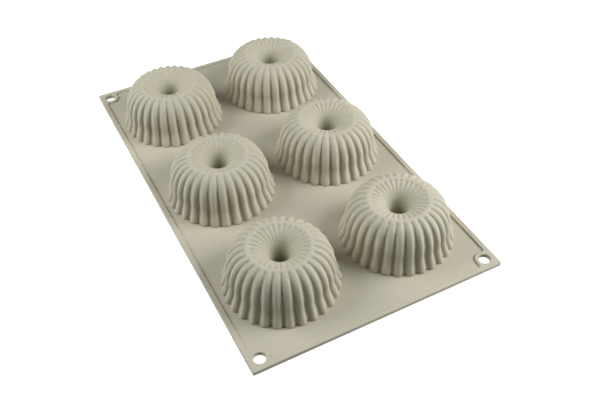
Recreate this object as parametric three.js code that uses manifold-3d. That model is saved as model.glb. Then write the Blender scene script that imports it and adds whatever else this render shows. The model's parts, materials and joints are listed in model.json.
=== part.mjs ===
// A fluted silicone cake mould, lying on its open side with its cups pointing up.
import * as THREE from "three";
import { mergeVertices } from "three/addons/utils/BufferGeometryUtils.js";
import Module from "manifold-3d";

const wasm = await Module();
wasm.setup();

// Driving dimensions, in millimetres and degrees. X is the short side, Y the long side, Z is up.

// Rows of cups along the long side and columns along the short side, with the gaps between their feet
const ROWS = ["front", "middle", "rear"];
const COLUMNS = ["left", "right"];
const ROW_GAP = 19.4;
const COLUMN_GAP = 9.1;

// Cup: the crest line of its ribs, with heights from the top of the sheet
const CUP_WALL = 1.8;
const FOOT_RADIUS = 38;
const TOE_HEIGHT = 6.3;
const FLARE_HEIGHT = 7.9;
const WAIST_RADIUS = 35;
const WAIST_HEIGHT = 14.4;
const SHOULDER_RISE = 2.3;
const CROWN_RADIUS = 32.1;
const LIP_RADIUS = 19.8;
const LIP_HEIGHT = 31.9;

// Flutes: rounded ribs from the foot to the lip, with narrow grooves between them
const FLUTES = 30;
const GROOVE_DEPTH = 2.8;

// Core: the funnel that dips from the lip into the middle of the cup, with drops from the lip
const FUNNEL_EDGE_RADIUS = 14;
const FUNNEL_BEND_RADIUS = 7.5;
const FUNNEL_BEND_DROP = 3;
const THROAT_RADIUS = 5.5;
const THROAT_DROP = 15;
const TIP_RADIUS = 4.2;
const TIP_HEIGHT = 3;

// Sheet: a flat rectangle with a raised rim along its edge, and the flat strips beside the cups
const SHEET_THICKNESS = 2;
const CORNER_RADIUS = 0.8;
const RIM_WIDTH = 3.6;
const RIM_RISE = 0.9;
const SIDE_STRIP = 3.35;
const END_STRIP = 13;

// Hanging holes: one in each corner, through a round pad as high as the rim
const HOLE_DIAMETER = 7.8;
const HOLE_EDGE = 3.8;
const PAD_RING = 2.5;

// Flexible webs: the bands of the sheet that bend between two rows, clear of the feet of the cups
const WEB_CLEARANCE = 4.2;

// Joint between two pieces of the one moulding
const SEAM_GAP = 0.3;

// Fineness of the curves
const FLARE_STEPS = 3;
const SHOULDER_STEPS = 5;
const FUNNEL_STEPS = 4;
const CORE_SIDES = 30;
const HOLE_SIDES = 32;
const CORNER_SIDES = 4;
const WELD_DISTANCE = 1e-4;

// Colour and finish of the silicone
const SILICONE = { color: 0xb9b5a3, roughness: 0.7, metalness: 0 };

// Worked-out sizes and places
const rowPitch = 2 * FOOT_RADIUS + ROW_GAP;
const columnPitch = 2 * FOOT_RADIUS + COLUMN_GAP;
const rowY = (row) => (row - (ROWS.length - 1) / 2) * rowPitch;
const columnX = (column) => (column - (COLUMNS.length - 1) / 2) * columnPitch;
const sheetWidth = COLUMNS.length * columnPitch - COLUMN_GAP + 2 * (SIDE_STRIP + RIM_WIDTH);
const sheetLength = ROWS.length * rowPitch - ROW_GAP + 2 * (END_STRIP + RIM_WIDTH);
const edgeHeight = SHEET_THICKNESS + RIM_RISE;
const holeRadius = HOLE_DIAMETER / 2;
const holeInset = HOLE_EDGE + holeRadius;
const halfWeb = ROW_GAP / 2 - WEB_CLEARANCE;
const cupSeat = SHEET_THICKNESS + SEAM_GAP;
const upright = Math.PI / 2;

// Solids

// A geometry's corners joined, so that its surface is closed.
function welded(geometry) {
  const bare = geometry.clone();
  bare.deleteAttribute("normal");
  bare.deleteAttribute("uv");
  return mergeVertices(bare, WELD_DISTANCE);
}

function toSolid(geometry) {
  const closed = welded(geometry);
  const mesh = new wasm.Mesh({
    numProp: 3,
    vertProperties: new Float32Array(closed.getAttribute("position").array),
    triVerts: new Uint32Array(closed.index.array),
  });
  return new wasm.Manifold(mesh);
}

function toGeometry(solid) {
  const mesh = solid.getMesh();
  return new THREE.BufferGeometry()
    .setAttribute("position", new THREE.BufferAttribute(mesh.vertProperties, 3))
    .setIndex(new THREE.BufferAttribute(mesh.triVerts, 1));
}

function extruded(shape, height, x = 0, y = 0) {
  const settings = { depth: height, bevelEnabled: false, curveSegments: CORNER_SIDES };
  return toSolid(new THREE.ExtrudeGeometry(shape, settings).translate(x, y, 0));
}

function disc(radius, height, x, y) {
  const round = new THREE.CylinderGeometry(radius, radius, height, HOLE_SIDES);
  return toSolid(round.rotateX(upright).translate(x, y, height / 2));
}

// Sheet

function sheetOutline() {
  const x = sheetWidth / 2 - CORNER_RADIUS;
  const y = sheetLength / 2 - CORNER_RADIUS;
  const shape = new THREE.Shape();
  const corners = [[x, -y], [x, y], [-x, y], [-x, -y]];
  corners.forEach(([cornerX, cornerY], turn) => {
    shape.absarc(cornerX, cornerY, CORNER_RADIUS, (turn - 1) * upright, turn * upright);
  });
  shape.closePath();
  return shape;
}

function rimOutline() {
  const x = sheetWidth / 2 - RIM_WIDTH;
  const y = sheetLength / 2 - RIM_WIDTH;
  const inside = new THREE.Path();
  inside.moveTo(-x, -y).lineTo(x, -y).lineTo(x, y).lineTo(-x, y).closePath();
  const rim = sheetOutline();
  rim.holes.push(inside);
  return rim;
}

// The mouth of a cup, with a crest point and a groove point for each flute.
function mouthOutline() {
  const points = [];
  for (let side = 0; side < 2 * FLUTES; side++) {
    const angle = (side * Math.PI) / FLUTES;
    const radius = FOOT_RADIUS - CUP_WALL - (side % 2) * GROOVE_DEPTH;
    points.push(new THREE.Vector2(radius * Math.cos(angle), radius * Math.sin(angle)));
  }
  return new THREE.Shape(points);
}

// The whole sheet with its rim, pads, hanging holes and the mouths of the cups.
function makeSheet() {
  const x = sheetWidth / 2 - holeInset;
  const y = sheetLength / 2 - holeInset;
  const corners = [[-x, -y], [x, -y], [x, y], [-x, y]];
  const block = extruded(sheetOutline(), edgeHeight);
  let sheet = extruded(sheetOutline(), SHEET_THICKNESS).add(extruded(rimOutline(), edgeHeight));
  for (const corner of corners) {
    const pad = disc(holeRadius + PAD_RING, edgeHeight, ...corner).intersect(block);
    sheet = sheet.add(pad).subtract(disc(holeRadius, edgeHeight, ...corner));
  }
  ROWS.forEach((_, row) => COLUMNS.forEach((__, column) => {
    sheet = sheet.subtract(extruded(mouthOutline(), edgeHeight, columnX(column), rowY(row)));
  }));
  return sheet;
}

// The part of the sheet between two places along its length.
function sheetBand(sheet, from, to) {
  const box = new THREE.BoxGeometry(2 * sheetWidth, to - from, 2 * edgeHeight);
  return toGeometry(sheet.intersect(toSolid(box.translate(0, (from + to) / 2, 0))));
}

// Cup and core

// Points along a curve, each with the direction to its right.
function sampled(curve, steps) {
  return Array.from({ length: steps + 1 }, (_, step) => {
    const tangent = curve.getTangent(step / steps);
    const side = new THREE.Vector2(tangent.y, -tangent.x);
    return { point: curve.getPoint(step / steps), side };
  });
}

// The crest line of the cup from its foot to its lip.
function crestSamples() {
  const foot = new THREE.Vector2(FOOT_RADIUS, 0);
  const toe = new THREE.Vector2(FOOT_RADIUS, TOE_HEIGHT);
  const flareBend = new THREE.Vector2(WAIST_RADIUS, FLARE_HEIGHT);
  const waist = new THREE.Vector2(WAIST_RADIUS, WAIST_HEIGHT);
  const shoulderBend = new THREE.Vector2(WAIST_RADIUS, WAIST_HEIGHT + SHOULDER_RISE);
  const crownBend = new THREE.Vector2(CROWN_RADIUS, LIP_HEIGHT);
  const lip = new THREE.Vector2(LIP_RADIUS, LIP_HEIGHT);
  const flare = new THREE.CubicBezierCurve(foot, toe, flareBend, waist);
  const shoulder = new THREE.CubicBezierCurve(waist, shoulderBend, crownBend, lip);
  return [...sampled(flare, FLARE_STEPS), ...sampled(shoulder, SHOULDER_STEPS).slice(1)];
}

// The groove is deepest at the foot and runs out at the smooth lip.
function grooveAt({ x: radius }) {
  return GROOVE_DEPTH * THREE.MathUtils.smoothstep(radius, LIP_RADIUS, FOOT_RADIUS);
}

// A face of the wall: the crest line moved inwards, with its foot flat on the sheet.
function wallFace(crest, inwards) {
  const face = crest.map(({ point, side }) => point.clone().addScaledVector(side, -inwards(point)));
  face[0].set(FOOT_RADIUS - inwards(crest[0].point), 0);
  return face;
}

// The closed outline of the wall along a rib or along a groove.
function wallProfile(crest, groove) {
  const outer = wallFace(crest, groove);
  const inner = wallFace(crest, (point) => CUP_WALL + groove(point));
  return [...outer, ...inner.reverse(), outer[0]];
}

// A fluted shell: a turned wall in which every second line of points is drawn in as a groove.
function makeCup() {
  const crest = crestSamples();
  const ribLine = wallProfile(crest, () => 0);
  const grooveLine = wallProfile(crest, grooveAt);
  const lathe = new THREE.LatheGeometry(ribLine, 2 * FLUTES, upright);
  const position = lathe.getAttribute("position");
  for (let index = 0; index < position.count; index++) {
    const place = index % ribLine.length;
    const line = Math.floor(index / ribLine.length);
    const { x: radius, y: height } = line % 2 ? grooveLine[place] : ribLine[place];
    const scale = radius / ribLine[place].x;
    position.setXYZ(index, position.getX(index) * scale, height, position.getZ(index) * scale);
  }
  return welded(lathe.rotateX(upright));
}

// The upper face of the funnel, from the lip down to the tip.
function funnelSamples() {
  const edge = new THREE.Vector2(LIP_RADIUS - SEAM_GAP, LIP_HEIGHT);
  const edgeBend = new THREE.Vector2(FUNNEL_EDGE_RADIUS, LIP_HEIGHT);
  const throatBend = new THREE.Vector2(FUNNEL_BEND_RADIUS, LIP_HEIGHT - FUNNEL_BEND_DROP);
  const throat = new THREE.Vector2(THROAT_RADIUS, LIP_HEIGHT - THROAT_DROP);
  const tip = new THREE.Vector2(TIP_RADIUS, TIP_HEIGHT);
  const funnel = new THREE.CubicBezierCurve(edge, edgeBend, throatBend, throat);
  const tube = new THREE.LineCurve(throat, tip);
  return [...sampled(funnel, FUNNEL_STEPS), ...sampled(tube, 1).slice(1)];
}

// A funnel with a closed tip, turned from its lower and upper faces.
function makeCore() {
  const samples = funnelSamples();
  const upper = samples.map(({ point }) => point);
  const lower = samples.map(({ point, side }) => point.clone().addScaledVector(side, -CUP_WALL));
  lower.at(0).set(upper[0].x, LIP_HEIGHT - CUP_WALL);
  lower.at(-1).set(TIP_RADIUS + CUP_WALL, TIP_HEIGHT);
  const tipUnder = new THREE.Vector2(TIP_RADIUS, TIP_HEIGHT - CUP_WALL);
  const tipBottom = new THREE.Vector2(0, TIP_HEIGHT - CUP_WALL);
  const tipFloor = new THREE.Vector2(0, TIP_HEIGHT);
  const profile = [tipBottom, tipUnder, ...lower.reverse(), ...upper, tipFloor];
  const lathe = new THREE.LatheGeometry(profile, CORE_SIDES, upright);
  return welded(lathe.rotateX(upright));
}

// Assembly

function piece(name, geometry) {
  geometry.computeVertexNormals();
  const mesh = new THREE.Mesh(geometry, new THREE.MeshStandardMaterial(SILICONE));
  mesh.name = name;
  return mesh;
}

const mould = new THREE.Group();
const sheet = makeSheet();

ROWS.forEach((rowName, row) => {
  const isFirst = row === 0;
  const isLast = row === ROWS.length - 1;
  const from = isFirst ? -sheetLength : rowY(row) - rowPitch / 2 + halfWeb;
  const to = isLast ? sheetLength : rowY(row) + rowPitch / 2 - halfWeb;
  mould.add(piece(`deck_${rowName}`, sheetBand(sheet, from, to)));
  COLUMNS.forEach((columnName, column) => {
    const place = new THREE.Group();
    place.position.set(columnX(column), rowY(row), cupSeat);
    place.add(piece(`cup_${rowName}_${columnName}`, makeCup()));
    place.add(piece(`core_${rowName}_${columnName}`, makeCore()));
    mould.add(place);
  });
});

["front", "rear"].forEach((webName, web) => {
  const bendLine = rowY(web) + rowPitch / 2;
  const reach = halfWeb - SEAM_GAP;
  mould.add(piece(`flex_web_${webName}`, sheetBand(sheet, bendLine - reach, bendLine + reach)));
});

export default mould;
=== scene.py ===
"""A fluted silicone cake mould: six cups on one flexible sheet, in a plain white studio."""

import json
import math
from typing import NamedTuple

import bmesh
import bpy
from bpy.props import FloatProperty, FloatVectorProperty, IntProperty, PointerProperty
from mathutils import Matrix, Vector


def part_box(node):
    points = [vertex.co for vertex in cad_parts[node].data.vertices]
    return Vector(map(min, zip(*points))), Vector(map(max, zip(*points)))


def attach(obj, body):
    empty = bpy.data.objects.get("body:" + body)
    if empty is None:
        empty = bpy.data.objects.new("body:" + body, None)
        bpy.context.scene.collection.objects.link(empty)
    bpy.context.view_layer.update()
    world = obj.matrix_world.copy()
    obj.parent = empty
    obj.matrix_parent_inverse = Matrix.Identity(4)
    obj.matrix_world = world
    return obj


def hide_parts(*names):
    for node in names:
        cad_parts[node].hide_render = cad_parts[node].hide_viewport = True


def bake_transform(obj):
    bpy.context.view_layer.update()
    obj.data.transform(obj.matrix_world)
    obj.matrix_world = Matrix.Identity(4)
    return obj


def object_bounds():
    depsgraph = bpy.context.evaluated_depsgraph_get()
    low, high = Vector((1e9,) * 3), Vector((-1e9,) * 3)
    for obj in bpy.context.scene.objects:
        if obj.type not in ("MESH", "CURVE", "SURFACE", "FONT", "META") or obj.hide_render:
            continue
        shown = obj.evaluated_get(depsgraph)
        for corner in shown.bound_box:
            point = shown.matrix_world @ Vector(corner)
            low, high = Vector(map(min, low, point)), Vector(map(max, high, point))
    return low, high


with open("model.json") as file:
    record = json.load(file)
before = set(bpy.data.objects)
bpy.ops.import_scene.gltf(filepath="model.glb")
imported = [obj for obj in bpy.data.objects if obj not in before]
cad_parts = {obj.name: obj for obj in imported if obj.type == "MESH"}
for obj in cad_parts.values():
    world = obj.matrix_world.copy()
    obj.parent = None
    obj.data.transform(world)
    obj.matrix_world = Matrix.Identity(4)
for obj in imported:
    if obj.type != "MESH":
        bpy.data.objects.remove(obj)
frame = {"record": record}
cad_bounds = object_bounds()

bl_info = {
    "name": "Fluted cake mould",
    "version": (1, 0, 0),
    "blender": (4, 5, 0),
    "location": "3D View > Sidebar > Cake mould",
    "description": "Builds a silicone cake mould with fluted cups on a flexible sheet",
    "category": "Object",
}

MM = 0.001

# Names of the pieces, as the frame has them
ROWS = ("front", "middle", "rear")
COLUMNS = ("left", "right")
CUPS = tuple((row, column) for row in ROWS for column in COLUMNS)
WEBS = (("front", "row_front", "row_middle"), ("rear", "row_middle", "row_rear"))

# Names of the values that the cup's outline carries into the geometry nodes and the silicone. The
# throat and recess values are painted shade: a darker colour in the throats and grooves, where less
# light reaches
GROOVE_PULL = "groove_pull"
SOFTNESS = "rib_softness"
PAINTED_THROAT_SHADE = "throat_shade"
PAINTED_SHADE_MASK = "recess_shade"

# Fineness of the curves
FUNNEL_STEPS = 26
TUBE_STEPS = 5
TIP_STEPS = 4
CROWN_STEPS = 30
FLARE_STEPS = 14
CORNER_STEPS = 6
PAD_STEPS = 18
FILLET_STEPS = 8
HOLE_SIDES = 64
ROUND_STEPS = 4

# Points nearer than this are one point, and edges that turn further than this stay sharp
WELD = 1e-6
SHARP_TURN = math.radians(30)

# Patterns in the silicone's skin: patches per metre, detail and roughness of each
CLOUDS = (28.0, 3.0, 0.55)
SPECKS = (900.0, 2.0, 0.6)
BLOOM = (60.0, 4.0, 0.6)
COARSE_GRAIN = (420.0, 2.0, 0.5)
FINE_GRAIN = (2600.0, 2.0, 0.5)

# How strongly those patterns show beside each other, and the middle value of a pattern
CLOUD_STRENGTH = 2.0
SPECK_STRENGTH = 0.6
FINE_GRAIN_STRENGTH = 0.6
PATTERN_MIDDLE = 0.5

# The floor, which lies just below the mould and looks white to the camera
FLOOR_HALF = 4.0
FLOOR_DROP = 0.0002
FLOOR_SHADE = 0.4
FLOOR_GLOW = 0.9

# The white of the studio, its lamps, and the width of the camera's sensor in millimetres
WHITE = (1.0, 1.0, 1.0, 1.0)
LAMPS = ("right_lamp", "left_lamp", "top_lamp")
SENSOR_WIDTH = 36.0


# Sizes, colours and places that can be changed


def length(name, description, millimetres):
    return FloatProperty(
        name=name, description=description, default=millimetres * MM, unit="LENGTH", precision=5
    )


def share(name, description, default):
    return FloatProperty(
        name=name, description=description, default=default, min=0.0, max=1.0, subtype="FACTOR"
    )


def colour(name, description, default):
    return FloatVectorProperty(
        name=name, description=description, default=default, size=3, min=0.0, max=1.0, subtype="COLOR"
    )


def position(name, description, metres):
    return FloatVectorProperty(
        name=name, description=description, default=metres, subtype="TRANSLATION", unit="LENGTH"
    )


def angle(name, description, degrees):
    return FloatProperty(
        name=name, description=description, default=math.radians(degrees), subtype="ANGLE"
    )


def power(name, description, watts):
    return FloatProperty(name=name, description=description, default=watts, min=0.0, unit="POWER")


class CupSizes(bpy.types.PropertyGroup):
    """The crest line of a cup's ribs and its funnel, with heights from the top of the sheet."""

    wall: length("Wall", "Thickness of the silicone", 1.8)
    foot_radius: length("Foot radius", "Crest of the ribs where they meet the sheet", 38.4)
    toe_height: length("Toe height", "Bend from the upright foot into the flare", 4.0)
    flare_height: length("Flare height", "Bend from the flare into the waist", 6.7)
    waist_radius: length("Waist radius", "Upright part of the wall", 34.6)
    waist_height: length("Waist height", "Height of the waist", 14.7)
    shoulder_rise: length("Shoulder rise", "How far above the waist the wall bends in", 2.3)
    crown_radius: length("Crown radius", "Bend from the shoulder into the crown", 31.4)
    lip_radius: length("Lip radius", "Middle of the smooth lip around the funnel", 19.8)
    lip_half_width: length("Lip half width", "Smooth band on each side of the lip", 1.2)
    funnel_edge_radius: length("Funnel edge radius", "Bend from the lip into the funnel", 14)
    funnel_bend_radius: length("Funnel bend radius", "Bend from the funnel into the throat", 6.7)
    funnel_bend_drop: length("Funnel bend drop", "How far that bend lies below the lip", 3)
    throat_radius: length("Throat radius", "Radius at the top of the tube", 4.7)
    throat_drop: length("Throat drop", "How far the throat lies below the lip", 15)
    tip_radius: length("Tip radius", "Radius at the closed end of the tube", 3.0)
    tip_height: length("Tip height", "Height of the closed end", 3)
    foot_sink: length("Foot sink", "How far the outer foot sinks into the sheet", 0.1)
    flutes: IntProperty(name="Flutes", description="Ribs around a cup", default=30, min=3)
    points_per_flute: IntProperty(
        name="Points per flute", description="Points around one rib and one groove", default=18, min=8
    )
    floor_points: share("Floor points", "Share of those points on one half of a groove floor", 1 / 9)
    groove_depth: length("Groove depth", "Depth of the grooves at the waist", 2.1)
    foot_groove_depth: length("Foot groove depth", "Depth of the grooves at the foot", 2.1)
    crown_groove_depth: length("Crown groove depth", "Depth of the grooves at the lip", 1.0)
    funnel_groove_depth: length("Funnel groove depth", "Depth of the grooves in the funnel", 0.9)
    funnel_groove_end: length("Funnel groove end", "Radius at which the funnel is smooth", 6)
    groove_run_out: length("Groove run-out", "Length in which a groove ends at the lip", 0.5)
    # Painted shade: a groove this deep gets the full darker colour
    painted_shade_depth: length("Shaded depth", "Depth at which a groove is as dark as the throat", 3.0)
    rib_width: share("Rib width", "How much of the pitch a rib takes, beside its groove", 0.8)
    rib_roundness: share("Rib roundness", "How nearly a rib is a half round", 0.74)


class SheetSizes(bpy.types.PropertyGroup):
    """The flat sheet with its raised rim, its corner pads and their hanging holes."""

    thickness: length("Thickness", "Thickness of the flat sheet", 2)
    corner_radius: length("Corner radius", "Round of the sheet's corners", 0.8)
    rim_width: length("Rim width", "Width of the raised rim", 3.6)
    hole_radius: length("Hole radius", "Radius of a hanging hole", 3.9)
    pad_ring: length("Pad ring", "Width of the raised ring around a hole", 2.5)
    pad_fillet: length("Pad fillet", "Round between a pad and the rim", 1.8)
    edge_round: length("Edge round", "Round of the outer edges", 0.4)
    step_round: length("Step round", "Round of the step from the rim to the sheet", 0.44)
    web_step: length("Web step", "Length of one step along a flexible web", 0.5)


class SiliconeFinish(bpy.types.PropertyGroup):
    """Colours and surface of the silicone."""

    body: colour("Body", "Colour of clean silicone", (0.536, 0.5, 0.38))
    # Painted shade: the recess colour, and how far it shows, darken the grooves and throats where
    # shade falls
    painted_shade_colour: colour("Recess", "Colour deep in the grooves and throats", (0.15, 0.175, 0.07))
    painted_shade_share: share("Recess share", "How far the recess colour shows", 0.28)
    tone_change: share("Tone change", "Light and dark clouds in the colour", 0.05)
    roughness: share("Roughness", "Roughness of the matt skin", 0.62)
    bloom_change: share("Bloom change", "How far the roughness changes from patch to patch", 0.16)
    gloss: share("Gloss", "Strength of the reflections", 0.2)
    grain_height: length("Grain height", "Height of the fine moulded grain", 0.02)
    grain_strength: share("Grain strength", "How strongly the grain shows", 0.6)


class StudioSetup(bpy.types.PropertyGroup):
    """Camera and light."""

    camera_place: position("Camera place", "Where the camera stands", (-0.16926, -0.38085, 0.37366))
    camera_turn: angle("Camera turn", "Turn of the view about the vertical", -26.35)
    camera_tilt: angle("Camera tilt", "How far the camera looks down", 44.06)
    camera_roll: angle("Camera roll", "Roll about the line of sight", -1.57)
    focal_length: FloatProperty(
        name="Focal length", description="Lens, in millimetres", default=45.9, unit="CAMERA"
    )
    sky: FloatProperty(
        name="Sky", description="Even light from all around", default=0.02, min=0.0
    )
    right_lamp: power("Right lamp", "Soft lamp to the right of the front row", 5.35)
    right_lamp_place: position("Right lamp place", "Where the right lamp hangs", (0.5, -0.275, 0.375))
    right_lamp_width: length("Right lamp width", "Side of the right lamp", 450)
    left_lamp: power("Left lamp", "Soft lamp to the left of the rear row", 4.1)
    left_lamp_place: position("Left lamp place", "Where the left lamp hangs", (-0.5, 0.22, 0.4))
    left_lamp_width: length("Left lamp width", "Side of the left lamp", 500)
    top_lamp: power("Top lamp", "Large soft lamp high above the mould", 0.5)
    top_lamp_place: position("Top lamp place", "Where the top lamp hangs", (0.0, 0.0, 1.3))
    top_lamp_width: length("Top lamp width", "Side of the top lamp", 1000)
    lamp_tint: colour("Lamp tint", "Faint daylight tint of the lamps", (0.93, 0.95, 1.0))


# Nodes


class NodeWriter:
    """Writes nodes into one tree. An input is a socket to link or a plain value."""

    def __init__(self, tree):
        self.tree = tree

    def set(self, socket, value):
        if isinstance(value, bpy.types.NodeSocket):
            self.tree.links.new(value, socket)
        else:
            socket.default_value = value

    def node(self, kind, *values, named=None, **settings):
        """A node with its settings, its first inputs in order and others by their names."""
        node = self.tree.nodes.new(kind)
        for name, value in settings.items():
            setattr(node, name, value)
        sockets = [socket for socket in node.inputs if socket.enabled]
        for socket, value in zip(sockets, values):
            self.set(socket, value)
        for name, value in (named or {}).items():
            self.set(node.inputs[name], value)
        return node

    def math(self, operation, *values):
        return self.node("ShaderNodeMath", *values, operation=operation).outputs[0]

    def vector(self, operation, *values):
        return self.node("ShaderNodeVectorMath", *values, operation=operation).outputs[0]

    def mix(self, kind, factor, first, second):
        node = self.node("ShaderNodeMix", factor, first, second, data_type=kind)
        return next(socket for socket in node.outputs if socket.enabled)


def new_group(name, kind, inputs, outputs):
    """A node group with its sockets, its writer and its two end nodes."""
    tree = bpy.data.node_groups.new(name, kind)
    for way, sockets in (("INPUT", inputs), ("OUTPUT", outputs)):
        for socket_name, socket_kind in sockets:
            tree.interface.new_socket(socket_name, in_out=way, socket_type=socket_kind)
    writer = NodeWriter(tree)
    return tree, writer, writer.node("NodeGroupInput"), writer.node("NodeGroupOutput")


# Silicone


def silicone_skin_group():
    """Clouds of tone, patches of bloom and a fine moulded grain, shared by every silicone surface."""
    name = "Silicone skin"
    if name in bpy.data.node_groups:
        return bpy.data.node_groups[name]
    inputs = [("Coordinates", "NodeSocketVector"), ("Tone change", "NodeSocketFloat")]
    outputs = [("Tone", "NodeSocketFloat"), ("Bloom", "NodeSocketFloat"), ("Grain", "NodeSocketFloat")]
    tree, write, start, end = new_group(name, "ShaderNodeTree", inputs, outputs)

    def pattern(values):
        named = dict(zip(("Scale", "Detail", "Roughness"), values))
        named["Vector"] = start.outputs["Coordinates"]
        return write.node("ShaderNodeTexNoise", named=named).outputs[0]

    clouds = write.math("SUBTRACT", pattern(CLOUDS), PATTERN_MIDDLE)
    specks = write.math("SUBTRACT", pattern(SPECKS), PATTERN_MIDDLE)
    strong_clouds = write.math("MULTIPLY", clouds, CLOUD_STRENGTH)
    spread = write.math("MULTIPLY_ADD", specks, SPECK_STRENGTH, strong_clouds)
    tone = write.math("MULTIPLY_ADD", spread, start.outputs["Tone change"], 1.0)
    coarse = pattern(COARSE_GRAIN)
    grain = write.math("MULTIPLY_ADD", pattern(FINE_GRAIN), FINE_GRAIN_STRENGTH, coarse)
    write.set(end.inputs["Tone"], tone)
    write.set(end.inputs["Bloom"], pattern(BLOOM))
    write.set(end.inputs["Grain"], grain)
    return tree


def silicone_material(name, finish, has_painted_shade):
    """Matt silicone. On the cups, shade is painted into the grooves and throats as a darker colour, by
    the value that the mesh carries.
    """
    material = bpy.data.materials.new(name)
    material.use_nodes = True
    tree = material.node_tree
    write = NodeWriter(tree)
    shader = tree.nodes["Principled BSDF"]
    coordinates = write.node("ShaderNodeTexCoord").outputs["Object"]
    skin = write.node("ShaderNodeGroup", node_tree=silicone_skin_group())
    write.set(skin.inputs["Coordinates"], coordinates)
    write.set(skin.inputs["Tone change"], finish.tone_change)

    base = tuple(finish.body)
    # Painted shade: the darker recess colour mixed into the grooves and throats
    if has_painted_shade:
        shade = write.node("ShaderNodeAttribute", attribute_name=PAINTED_SHADE_MASK).outputs["Fac"]
        mask = write.math("MULTIPLY", shade, finish.painted_shade_share)
        base = write.mix("RGBA", mask, (*finish.body, 1.0), (*finish.painted_shade_colour, 1.0))
    write.set(shader.inputs["Base Color"], write.vector("SCALE", base, skin.outputs["Tone"]))

    smoothest = finish.roughness - finish.bloom_change / 2
    rough = write.math("MULTIPLY_ADD", skin.outputs["Bloom"], finish.bloom_change, smoothest)
    write.set(shader.inputs["Roughness"], rough)
    grain = {"Strength": finish.grain_strength, "Distance": finish.grain_height}
    grain["Height"] = skin.outputs["Grain"]
    bump = write.node("ShaderNodeBump", named=grain)
    write.set(shader.inputs["Normal"], bump.outputs[0])
    shader.inputs["Specular IOR Level"].default_value = finish.gloss
    return material


# Pieces


def finish_piece(mesh, name, body=None):
    """Links a finished mesh as a piece at the origin, attached to its body when one is given."""
    piece = bpy.data.objects.new(name, mesh)
    bpy.context.scene.collection.objects.link(piece)
    if body:
        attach(piece, body)
    return piece


# Cups


class OutlinePoint(NamedTuple):
    """A point of a cup's outline. Softness turns the round ribs, at 0, into a soft wave, at 1."""

    place: Vector
    groove_pull: Vector
    softness: float = 1.0
    # Painted shade for the throat: how far its colour is darkened, where little light reaches
    throat_shade: float = 0.0


def bezier(controls, steps):
    """Points along a Bezier curve, both ends included."""
    curve = []
    for step in range(steps + 1):
        points = [Vector(control) for control in controls]
        while len(points) > 1:
            points = [a.lerp(b, step / steps) for a, b in zip(points, points[1:])]
        curve.append(points[0])
    return curve


def smooth_share(value, low, high):
    """0 below low, 1 above high, and a smooth rise between them."""
    part = min(max((value - low) / (high - low), 0.0), 1.0)
    return part * part * (3.0 - 2.0 * part)


def funnel_line(sizes, lip_height):
    """The upper face of the funnel, from the middle of its closed tip up to the lip."""
    tip_corner = (sizes.tip_radius, sizes.tip_height)
    throat = (sizes.throat_radius, lip_height - sizes.throat_drop)
    throat_bend = (sizes.funnel_bend_radius, lip_height - sizes.funnel_bend_drop)
    edge_bend = (sizes.funnel_edge_radius, lip_height)
    lip = (sizes.lip_radius, lip_height)
    tip_top = (sizes.tip_radius, sizes.tip_height + sizes.tip_radius / 2)
    tip = bezier([(0.0, sizes.tip_height), tip_corner, tip_top], TIP_STEPS)
    tube = bezier([tip_top, throat], TUBE_STEPS)
    funnel = bezier([throat, throat_bend, edge_bend, lip], FUNNEL_STEPS)
    return tip + tube[1:] + funnel[1:]


def crest_line(sizes, lip_height):
    """The crest of a rib, from the lip down to the foot."""
    lip = (sizes.lip_radius, lip_height)
    crown = (sizes.crown_radius, lip_height)
    shoulder = (sizes.waist_radius, sizes.waist_height + sizes.shoulder_rise)
    waist = (sizes.waist_radius, sizes.waist_height)
    flare = (sizes.waist_radius, sizes.flare_height)
    toe = (sizes.foot_radius, sizes.toe_height)
    foot = (sizes.foot_radius, 0.0)
    upper = bezier([lip, crown, shoulder, waist], CROWN_STEPS)
    return upper + bezier([waist, flare, toe, foot], FLARE_STEPS)[1:]


def groove_depth(sizes, point, in_funnel):
    """Depth of a groove at a point of the crest line. The grooves run out at the smooth lip."""
    radius, height = point
    if in_funnel:
        edge = sizes.lip_radius - sizes.lip_half_width
        start = 1.0 - smooth_share(radius, edge - sizes.groove_run_out, edge)
        fade = smooth_share(radius, sizes.funnel_groove_end, edge)
        return sizes.funnel_groove_depth * start * fade
    edge = sizes.lip_radius + sizes.lip_half_width
    start = smooth_share(radius, edge, edge + sizes.groove_run_out)
    far_depth = sizes.foot_groove_depth
    part = height / sizes.waist_height
    if height > sizes.waist_height:
        far_depth = sizes.crown_groove_depth
        part = ((radius - edge) / (sizes.waist_radius - edge)) ** 2
    return start * (far_depth + (sizes.groove_depth - far_depth) * part)


def cup_outline(sizes, lip_height):
    """The cut through one side of a cup: out along its upper face to the foot, and back below it."""
    funnel = funnel_line(sizes, lip_height)
    line = funnel + crest_line(sizes, lip_height)[1:]
    upper, under = [], []
    for index, point in enumerate(line):
        in_funnel = index < len(funnel)
        before = line[max(index - 1, 0)]
        after = line[min(index + 1, len(line) - 1)]
        along = (after - before).normalized()
        inwards = Vector((along.y, -along.x))
        pull = inwards * groove_depth(sizes, point, in_funnel)
        below = point + inwards * sizes.wall
        # Painted shade: the colour darkens from the funnel's edge down into the tube
        shade = 1.0 - smooth_share(point.x, sizes.throat_radius, sizes.funnel_edge_radius)
        upper.append(OutlinePoint(point, pull, 1.0 if in_funnel else 0.0, shade))
        under.append(OutlinePoint(Vector((max(below.x, 0.0), below.y)), pull))
    foot_pull = Vector((-sizes.foot_groove_depth, 0.0))
    no_pull = Vector((0.0, 0.0))
    upper[-1] = OutlinePoint(Vector((sizes.foot_radius, -sizes.foot_sink)), foot_pull, softness=0.0)
    under[-1] = OutlinePoint(Vector((sizes.foot_radius - sizes.wall, 0.0)), foot_pull)
    under[0] = OutlinePoint(Vector((0.0, sizes.tip_height - sizes.wall)), no_pull)
    return upper + under[::-1]


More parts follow.
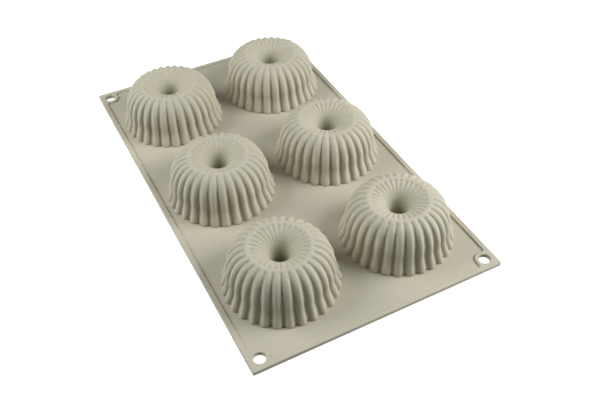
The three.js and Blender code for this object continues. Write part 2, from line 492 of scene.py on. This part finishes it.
def outline_mesh(outline, lift):
    """The outline as a line of points in the X-Z plane, with its three values."""
    mesh = bpy.data.meshes.new("cup_outline")
    points = [(point.place.x, 0.0, point.place.y + lift) for point in outline]
    mesh.from_pydata(points, [(i, i + 1) for i in range(len(points) - 1)], [])
    pulls = []
    for point in outline:
        pulls += (point.groove_pull.x, 0.0, point.groove_pull.y)
    softness = [point.softness for point in outline]
    shades = [point.throat_shade for point in outline]
    mesh.attributes.new(GROOVE_PULL, "FLOAT_VECTOR", "POINT").data.foreach_set("vector", pulls)
    mesh.attributes.new(SOFTNESS, "FLOAT", "POINT").data.foreach_set("value", softness)
    mesh.attributes.new(PAINTED_THROAT_SHADE, "FLOAT", "POINT").data.foreach_set("value", shades)
    return mesh


def rib_profile(write, given, column, softness):
    """Each point's turn about the cup, in flutes, and its share of the groove's depth."""
    step = write.math("DIVIDE", column, given["Points per flute"])
    flute = write.math("FLOOR", step)
    part = write.math("FRACT", step)
    floor_end = given["Floor points"]
    floor_start = write.math("SUBTRACT", 1.0, floor_end)
    floor_width = write.math("SUBTRACT", 1.0, given["Rib width"])

    def ramp(low, high, first, last):
        return write.node("ShaderNodeMapRange", part, low, high, first, last).outputs["Result"]

    # The place across a rib, from -1 to 1, and then across its pitch with the groove floors beside it
    on_rib = write.math("COSINE", ramp(floor_end, floor_start, math.pi, math.tau))
    before = ramp(0.0, floor_end, write.math("MULTIPLY", floor_width, -1.0), 0.0)
    after = ramp(floor_start, 1.0, 0.0, floor_width)
    on_floor = write.math("ADD", before, after)
    doubled = write.math("MULTIPLY_ADD", on_rib, given["Rib width"], on_floor)
    across = write.math("MULTIPLY", doubled, 0.5)

    # The height of the rib there: nearly a half round outside, a soft wave inside and in the funnel
    squared = write.math("MULTIPLY", on_rib, on_rib)
    inside_root = write.math("SUBTRACT", 1.0, write.math("MULTIPLY", squared, given["Rib roundness"]))
    edge = write.math("SQRT", write.math("SUBTRACT", 1.0, given["Rib roundness"]))
    rise = write.math("SUBTRACT", write.math("SQRT", inside_root), edge)
    round_rib = write.math("DIVIDE", rise, write.math("SUBTRACT", 1.0, edge))
    wave = write.math("COSINE", write.math("MULTIPLY", across, math.tau))
    soft_rib = write.math("MULTIPLY_ADD", wave, 0.5, 0.5)
    drawn_in = write.math("SUBTRACT", 1.0, write.mix("FLOAT", softness, round_rib, soft_rib))
    return write.math("ADD", flute, across), drawn_in


def fluted_cup_tree():
    """Turns an outline about its axis and draws it in between the ribs."""
    inputs = [
        ("Outline", "NodeSocketGeometry"),
        ("Flutes", "NodeSocketInt"),
        ("Points per flute", "NodeSocketInt"),
        ("Floor points", "NodeSocketFloat"),
        ("Rib width", "NodeSocketFloat"),
        ("Rib roundness", "NodeSocketFloat"),
        ("Shaded depth", "NodeSocketFloat"),
        ("Centre", "NodeSocketVector"),
        ("Material", "NodeSocketMaterial"),
    ]
    outputs = [("Cup", "NodeSocketGeometry")]
    tree, write, start, end = new_group("Fluted cup", "GeometryNodeTree", inputs, outputs)
    given = start.outputs

    # A net with one row for each point of the outline, and one column for each point around
    rows = write.node("GeometryNodeAttributeDomainSize", given["Outline"]).outputs["Point Count"]
    around = write.math("MULTIPLY", given["Flutes"], given["Points per flute"])
    columns = write.math("ADD", around, 1.0)
    net = write.node("GeometryNodeMeshGrid", 1.0, 1.0, rows, columns).outputs["Mesh"]
    index = write.node("GeometryNodeInputIndex").outputs[0]
    row = write.math("FLOOR", write.math("DIVIDE", write.math("ADD", index, 0.5), columns))
    column = write.math("SUBTRACT", index, write.math("MULTIPLY", row, columns))

    def from_outline(kind, value):
        named = {"Geometry": given["Outline"], "Value": value, "Index": row}
        sample = write.node("GeometryNodeSampleIndex", named=named, data_type=kind, domain="POINT")
        return sample.outputs[0]

    def carried(kind, name):
        node = write.node("GeometryNodeInputNamedAttribute", named={"Name": name}, data_type=kind)
        return from_outline(kind, node.outputs["Attribute"])

    place = from_outline("FLOAT_VECTOR", write.node("GeometryNodeInputPosition").outputs[0])
    pull = carried("FLOAT_VECTOR", GROOVE_PULL)
    softness = carried("FLOAT", SOFTNESS)
    throat_shade = carried("FLOAT", PAINTED_THROAT_SHADE)

    # The outline drawn in by the groove, and turned to its angle
    turn, drawn_in = rib_profile(write, given, column, softness)
    pulled = write.vector("SCALE", pull, drawn_in)
    moved = write.node("ShaderNodeSeparateXYZ", write.vector("ADD", place, pulled)).outputs
    bearing = write.math("MULTIPLY", turn, write.math("DIVIDE", math.tau, given["Flutes"]))
    x = write.math("MULTIPLY", moved["X"], write.math("COSINE", bearing))
    y = write.math("MULTIPLY", moved["X"], write.math("SINE", bearing))
    turned = write.node("ShaderNodeCombineXYZ", x, y, moved["Z"]).outputs[0]
    final_place = write.vector("ADD", turned, given["Centre"])

    # How deep in a groove or in the throat each point lies, as painted shade that darkens the
    # silicone's colour there
    pull_length = write.node("ShaderNodeVectorMath", pull, operation="LENGTH").outputs["Value"]
    depth = write.math("MULTIPLY", write.math("DIVIDE", pull_length, given["Shaded depth"]), drawn_in)
    shade = write.math("MAXIMUM", depth, throat_shade)

    def through(kind, geometry, named=None, **settings):
        return write.node(kind, named={"Geometry": geometry, **(named or {})}, **settings).outputs[0]

    # The painted shade stored, and the net moved to those places, closed, smoothed and given its
    # silicone
    stored = {"Name": PAINTED_SHADE_MASK, "Value": shade}
    cup = through("GeometryNodeStoreNamedAttribute", net, stored, data_type="FLOAT", domain="POINT")
    cup = through("GeometryNodeSetPosition", cup, {"Position": final_place})
    cup = through("GeometryNodeMergeByDistance", cup, {"Distance": WELD})
    cup = through("GeometryNodeSetShadeSmooth", cup)
    cup = through("GeometryNodeRealizeInstances", cup)
    cup = through("GeometryNodeSetMaterial", cup, {"Material": given["Material"]})
    write.set(end.inputs["Cup"], cup)
    return tree


def nodes_to_mesh(base, tree, values, name):
    """Runs a geometry node tree on a base mesh and returns the result as a plain mesh."""
    carrier = bpy.data.objects.new(name, base)
    bpy.context.scene.collection.objects.link(carrier)
    modifier = carrier.modifiers.new(tree.name, "NODES")
    modifier.node_group = tree
    for item in tree.interface.items_tree:
        if item.name in values:
            modifier[item.identifier] = values[item.name]
    bpy.context.view_layer.update()
    graph = bpy.context.evaluated_depsgraph_get()
    mesh = bpy.data.meshes.new_from_object(carrier.evaluated_get(graph))
    carrier.modifiers.remove(modifier)
    bpy.data.objects.remove(carrier)
    return mesh


def cup_centre(row, column):
    low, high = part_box(f"cup_{row}_{column}")
    return (low + high) / 2


class MOULD_OT_make_cups(bpy.types.Operator):
    """Make the six fluted cups, each with its funnel"""

    bl_idname = "mould.make_cups"
    bl_label = "Make cups"

    def execute(self, context):
        sizes = context.scene.mould_cup
        sheet_top = context.scene.mould_sheet.thickness
        tree = fluted_cup_tree()
        values = {
            "Flutes": sizes.flutes,
            "Points per flute": sizes.points_per_flute,
            "Floor points": sizes.floor_points,
            "Rib width": sizes.rib_width,
            "Rib roundness": sizes.rib_roundness,
            "Shaded depth": sizes.painted_shade_depth,
            "Material": silicone_material("silicone_cup", context.scene.mould_finish, True),
        }
        for row, column in CUPS:
            node = f"cup_{row}_{column}"
            centre = cup_centre(row, column)
            values["Centre"] = (centre.x, centre.y, 0.0)
            lip_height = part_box(node)[1].z - sheet_top
            base = outline_mesh(cup_outline(sizes, lip_height), sheet_top)
            mesh = nodes_to_mesh(base, tree, values, node)
            piece = finish_piece(mesh, f"moulded_{node}", f"row_{row}")
            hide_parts(node, f"core_{row}_{column}")
            bpy.data.meshes.remove(base)
        return {"FINISHED"}


# Sheet and webs


def arc(centre, radius, start, end, steps):
    """Points on an arc from one angle to another."""
    points = []
    for step in range(steps + 1):
        turn = start + (end - start) * step / steps
        points.append(Vector((centre.x + radius * math.cos(turn), centre.y + radius * math.sin(turn))))
    return points


def four_corners(corner):
    """A closed path from the path around the corner at +X +Y, which runs against the clock."""
    path = []
    for x, y in ((1, -1), (1, 1), (-1, 1), (-1, -1)):
        turned = [Vector((x * point.x, y * point.y)) for point in corner]
        path += turned if x == y else turned[::-1]
    return path


def sheet_half():
    """Half the sheet's width and half its length."""
    low, high = cad_bounds
    return Vector(((high.x - low.x) / 2, (high.y - low.y) / 2))


def hole_centres():
    """The hanging holes, from the openings that the record states for them."""
    openings = frame["record"]["physics"]["openings"]
    boxes = [opening["box_m"] for opening in openings if opening["name"].startswith("hanging_hole")]
    return [Vector(((low[0] + high[0]) / 2, (low[1] + high[1]) / 2)) for low, high in boxes]


def edge_path(sizes, inset):
    """The outer edge of the sheet, moved inwards."""
    centre = sheet_half() - Vector((sizes.corner_radius, sizes.corner_radius))
    return four_corners(arc(centre, sizes.corner_radius - inset, 0.0, math.pi / 2, CORNER_STEPS))


def step_path(sizes, grow):
    """The step down from the rim and the pads to the sheet, moved towards the middle of the sheet."""
    pad = max(hole_centres(), key=lambda centre: centre.x + centre.y)
    pad_radius = sizes.hole_radius + sizes.pad_ring
    inner = sheet_half() - Vector((sizes.rim_width, sizes.rim_width))

    # Centres of the two fillets, which touch the rim and the pad
    fillet = sizes.pad_fillet
    beside = inner - pad - Vector((fillet, fillet))
    reach = pad_radius + fillet
    drop = Vector((math.sqrt(reach**2 - beside.y**2), math.sqrt(reach**2 - beside.x**2)))
    first = Vector((inner.x - fillet, pad.y - drop.y))
    last = Vector((pad.x - drop.x, inner.y - fillet))

    first_turn = math.atan2(pad.y - first.y, pad.x - first.x)
    last_turn = math.atan2(pad.y - last.y, pad.x - last.x)
    path = arc(first, fillet - grow, 0.0, first_turn, FILLET_STEPS)
    path += arc(pad, pad_radius + grow, first_turn - math.pi, last_turn - math.pi, PAD_STEPS)[1:-1]
    path += arc(last, fillet - grow, last_turn, math.pi / 2, FILLET_STEPS)
    return four_corners(path)


def ring_path(centre, radius):
    return arc(centre, radius, 0.0, math.tau, HOLE_SIDES)[:-1]


def mouth_ring(row, column, sheet_top):
    """The points where a cup's inner wall meets the sheet, in order around it, and their centre."""
    centre = cup_centre(row, column).to_2d()
    mesh = bpy.data.objects[f"moulded_cup_{row}_{column}"].data
    points = [vertex.co.to_2d() for vertex in mesh.vertices if abs(vertex.co.z - sheet_top) < WELD]
    return sorted(points, key=lambda point: math.atan2(point.y - centre.y, point.x - centre.x)), centre


def mouth_path(ring, centre, grow):
    """The foot of a cup's inner wall, moved outwards."""
    return [point + (point - centre).normalized() * grow for point in ring]


def quarter_round(radius):
    """How far a rounded edge lies in from its side and from its face, from the side to the face."""
    turns = [math.pi / 2 * step / ROUND_STEPS for step in range(ROUND_STEPS + 1)]
    return [(radius * (1 - math.cos(turn)), radius * (1 - math.sin(turn))) for turn in turns]


def edge_levels(radius, top):
    """Insets and heights up an edge that is rounded below and above."""
    rounded = quarter_round(radius)
    return rounded[::-1] + [(inset, top - drop) for inset, drop in rounded]


def step_levels(radius, top, sheet_top):
    """Growths and heights down the step from the rim to the sheet."""
    rounded = quarter_round(radius)
    down = [(-inset, top - drop) for inset, drop in rounded[::-1]]
    return down + [(inset, sheet_top + drop) for inset, drop in rounded]


def add_loop(mesh, path, height):
    return [mesh.verts.new((point.x, point.y, height)) for point in path]


def add_skin(mesh, loops):
    """Smooth faces between loops that have the same number of points."""
    for low, high in zip(loops, loops[1:]):
        for index in range(len(low)):
            after = (index + 1) % len(low)
            face = mesh.faces.new((low[index], low[after], high[after], high[index]))
            face.smooth = True


def fill_flat(mesh, edges, normal):
    """A flat face inside closed edges, with holes where more edges lie within."""
    filled = bmesh.ops.triangle_fill(mesh, edges=edges, use_beauty=True, normal=normal)
    if not any(isinstance(part, bmesh.types.BMFace) for part in filled["geom"]):
        raise RuntimeError("a flat face of the sheet wasn't filled")


def add_flat(mesh, loops):
    """A level face inside the first loop, with the other loops as holes."""
    edges = []
    for loop in loops:
        for index, corner in enumerate(loop):
            pair = (corner, loop[(index + 1) % len(loop)])
            edges.append(mesh.edges.get(pair) or mesh.edges.new(pair))
    fill_flat(mesh, edges, (0.0, 0.0, 1.0))


def whole_sheet(sizes, top):
    """The sheet with its rim, pads, hanging holes and the mouths of the cups."""
    mesh = bmesh.new()
    sheet_top = sizes.thickness
    edge_heights = edge_levels(sizes.edge_round, top)
    step_heights = step_levels(sizes.step_round, top, sheet_top)
    mouth_heights = quarter_round(sizes.edge_round)[::-1] + [(0.0, sheet_top)]
    edge = [add_loop(mesh, edge_path(sizes, inset), z) for inset, z in edge_heights]
    step = [add_loop(mesh, step_path(sizes, grow), z) for grow, z in step_heights]
    holes = [
        [add_loop(mesh, ring_path(centre, sizes.hole_radius + inset), z) for inset, z in edge_heights]
        for centre in hole_centres()
    ]
    mouths = []
    for row, column in CUPS:
        ring, centre = mouth_ring(row, column, sheet_top)
        loops = [add_loop(mesh, mouth_path(ring, centre, grow), z) for grow, z in mouth_heights]
        mouths.append(loops)
    for loops in (edge, step, *holes, *mouths):
        add_skin(mesh, loops)
    add_flat(mesh, [edge[0], *(loops[0] for loops in holes + mouths)])
    add_flat(mesh, [edge[-1], step[0], *(loops[-1] for loops in holes)])
    add_flat(mesh, [step[-1], *(loops[-1] for loops in mouths)])
    return mesh


def cut_band(sheet, start, end):
    """A closed part of the sheet between two places along its length."""
    band = sheet.copy()
    for place, side in ((start, -1), (end, 1)):
        if place is None:
            continue
        parts = [*band.verts, *band.edges, *band.faces]
        along = (0.0, side, 0.0)
        cut = {"plane_co": (0.0, place, 0.0), "plane_no": along, "clear_outer": True}
        bmesh.ops.bisect_plane(band, geom=parts, dist=WELD, **cut)
        open_edges = [line for line in band.edges if line.is_boundary]
        fill_flat(band, open_edges, along)
        for line in open_edges:
            line.smooth = False
    bmesh.ops.recalc_face_normals(band, faces=band.faces)
    return band


def web_ends(name):
    low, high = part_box(f"flex_web_{name}")
    return low.y, high.y


def web_section(sizes, top):
    """The cut across the sheet between two rows, as places across it and heights."""
    half = sheet_half().x
    inner = half - sizes.rim_width
    right = [(half - inset, z) for inset, z in edge_levels(sizes.edge_round, top)]
    right += [(inner - grow, z) for grow, z in step_levels(sizes.step_round, top, sizes.thickness)]
    return right + [(-x, z) for x, z in right[::-1]]


def web_band(sizes, top, start, end):
    """A flexible web, swept along its length in short steps so that it can bend."""
    mesh = bmesh.new()
    steps = max(round((end - start) / sizes.web_step), 1)
    section = web_section(sizes, top)
    loops = []
    for step in range(steps + 1):
        place = start + (end - start) * step / steps
        loops.append([mesh.verts.new((x, place, z)) for x, z in section])
    add_skin(mesh, loops)
    for loop in (loops[0], loops[-1]):
        mesh.faces.new(loop)
    bmesh.ops.recalc_face_normals(mesh, faces=mesh.faces)
    for line in mesh.edges:
        line.smooth = line.calc_face_angle(0.0) < SHARP_TURN
    return mesh


def to_mesh(source, name, material):
    mesh = bpy.data.meshes.new(name)
    source.to_mesh(mesh)
    source.free()
    mesh.materials.append(material)
    return mesh


class MOULD_OT_make_sheet(bpy.types.Operator):
    """Make the three parts of the sheet and the two flexible webs between them"""

    bl_idname = "mould.make_sheet"
    bl_label = "Make sheet"

    def execute(self, context):
        sizes = context.scene.mould_sheet
        material = silicone_material("silicone_sheet", context.scene.mould_finish, False)
        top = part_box("deck_middle")[1].z
        front, rear = web_ends("front"), web_ends("rear")
        spans = ((None, front[0]), (front[1], rear[0]), (rear[1], None))
        sheet = whole_sheet(sizes, top)
        for row, (start, end) in zip(ROWS, spans):
            name = f"moulded_deck_{row}"
            mesh = to_mesh(cut_band(sheet, start, end), name, material)
            piece = finish_piece(mesh, name, f"row_{row}")
            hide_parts(f"deck_{row}")
        sheet.free()
        for web, first, last in WEBS:
            name = f"moulded_web_{web}"
            start, end = web_ends(web)
            mesh = to_mesh(web_band(sizes, top, start, end), name, material)
            piece = finish_piece(mesh, name)
            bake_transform(piece)
            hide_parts(f"flex_web_{web}")
        return {"FINISHED"}


# Studio


def seen_directly(write):
    """1 for what the camera, a reflection or a view through glass sees, and 0 for light that falls."""
    path = write.node("ShaderNodeLightPath").outputs
    mirrored = write.math("MAXIMUM", path["Is Glossy Ray"], path["Is Transmission Ray"])
    return write.math("MAXIMUM", path["Is Camera Ray"], mirrored)


def white_world(scene, sky):
    """A white background that gives only a little even light."""
    world = bpy.data.worlds.new("white_studio")
    world.use_nodes = True
    scene.world = world
    tree = world.node_tree
    write = NodeWriter(tree)
    light = tree.nodes["Background"]
    light.inputs["Color"].default_value = WHITE
    light.inputs["Strength"].default_value = sky
    white = write.node("ShaderNodeBackground", WHITE, 1.0)
    both = write.node("ShaderNodeMixShader", seen_directly(write), light.outputs[0], white.outputs[0])
    write.set(tree.nodes["World Output"].inputs["Surface"], both.outputs[0])


def white_floor(scene):
    """A white floor that keeps the shadow of the mould."""
    mesh = bpy.data.meshes.new("floor")
    signs = ((-1, -1), (1, -1), (1, 1), (-1, 1))
    corners = [(x * FLOOR_HALF, y * FLOOR_HALF, -FLOOR_DROP) for x, y in signs]
    mesh.from_pydata(corners, [], [(0, 1, 2, 3)])
    floor = bpy.data.objects.new("floor", mesh)
    scene.collection.objects.link(floor)
    material = bpy.data.materials.new("white_floor")
    material.use_nodes = True
    tree = material.node_tree
    write = NodeWriter(tree)
    paper = tree.nodes["Principled BSDF"]
    paper.inputs["Base Color"].default_value = (FLOOR_SHADE, FLOOR_SHADE, FLOOR_SHADE, 1.0)
    paper.inputs["Roughness"].default_value = 1.0
    paper.inputs["Specular IOR Level"].default_value = 0.0
    strength = write.math("MULTIPLY", seen_directly(write), FLOOR_GLOW)
    glow = write.node("ShaderNodeEmission", WHITE, strength)
    both = write.node("ShaderNodeAddShader", paper.outputs[0], glow.outputs[0])
    write.set(tree.nodes["Material Output"].inputs["Surface"], both.outputs[0])
    mesh.materials.append(material)


def add_lamp(scene, studio, name):
    """A soft square lamp at its place, turned towards the mould."""
    lamp = bpy.data.lights.new(name, "AREA")
    lamp.energy = getattr(studio, name)
    lamp.color = studio.lamp_tint
    lamp.size = getattr(studio, f"{name}_width")
    holder = bpy.data.objects.new(name, lamp)
    holder.location = getattr(studio, f"{name}_place")
    holder.rotation_euler = holder.location.to_track_quat("Z", "Y").to_euler()
    scene.collection.objects.link(holder)


def add_camera(scene, studio):
    """A camera at its place, turned about the vertical, tilted down and rolled."""
    data = bpy.data.cameras.new("camera")
    data.lens = studio.focal_length
    data.sensor_width = SENSOR_WIDTH
    data.sensor_fit = "HORIZONTAL"
    camera = bpy.data.objects.new("camera", data)
    turn, tilt = studio.camera_turn, studio.camera_tilt
    back = Vector((math.sin(turn) * math.cos(tilt), -math.cos(turn) * math.cos(tilt), math.sin(tilt)))
    right = Vector((0.0, 0.0, 1.0)).cross(back).normalized()
    up = back.cross(right)
    rolled = Matrix.Rotation(studio.camera_roll, 3, back)
    axes = Matrix((rolled @ right, rolled @ up, back)).transposed()
    camera.matrix_world = Matrix.Translation(studio.camera_place) @ axes.to_4x4()
    scene.collection.objects.link(camera)
    scene.camera = camera


class MOULD_OT_make_studio(bpy.types.Operator):
    """Make the floor, the light and the camera"""

    bl_idname = "mould.make_studio"
    bl_label = "Make studio"

    def execute(self, context):
        scene = context.scene
        studio = scene.mould_studio
        scene.view_settings.view_transform = "Standard"
        white_world(scene, studio.sky)
        white_floor(scene)
        for name in LAMPS:
            add_lamp(scene, studio, name)
        add_camera(scene, studio)
        return {"FINISHED"}


# Panel and running


class MOULD_PT_sidebar(bpy.types.Panel):
    """Sizes, finish and steps of the cake mould"""

    bl_idname = "MOULD_PT_sidebar"
    bl_label = "Cake mould"
    bl_space_type = "VIEW_3D"
    bl_region_type = "UI"
    bl_category = "Cake mould"

    def draw(self, context):
        for group in SETTINGS:
            settings = getattr(context.scene, group)
            box = self.layout.box()
            for name in SETTINGS[group].__annotations__:
                box.prop(settings, name)
        for step in STEPS:
            self.layout.operator(step.bl_idname)


STEPS = (MOULD_OT_make_cups, MOULD_OT_make_sheet, MOULD_OT_make_studio)
SETTINGS = {
    "mould_cup": CupSizes,
    "mould_sheet": SheetSizes,
    "mould_finish": SiliconeFinish,
    "mould_studio": StudioSetup,
}
CLASSES = (*SETTINGS.values(), *STEPS, MOULD_PT_sidebar)


def register():
    for item in CLASSES:
        bpy.utils.register_class(item)
    for name, kind in SETTINGS.items():
        setattr(bpy.types.Scene, name, PointerProperty(type=kind))


def unregister():
    for name in SETTINGS:
        delattr(bpy.types.Scene, name)
    for item in reversed(CLASSES):
        bpy.utils.unregister_class(item)


def main():
    register()
    bpy.ops.mould.make_cups()
    bpy.ops.mould.make_sheet()
    bpy.ops.mould.make_studio()


if __name__ == "__main__":
    main()
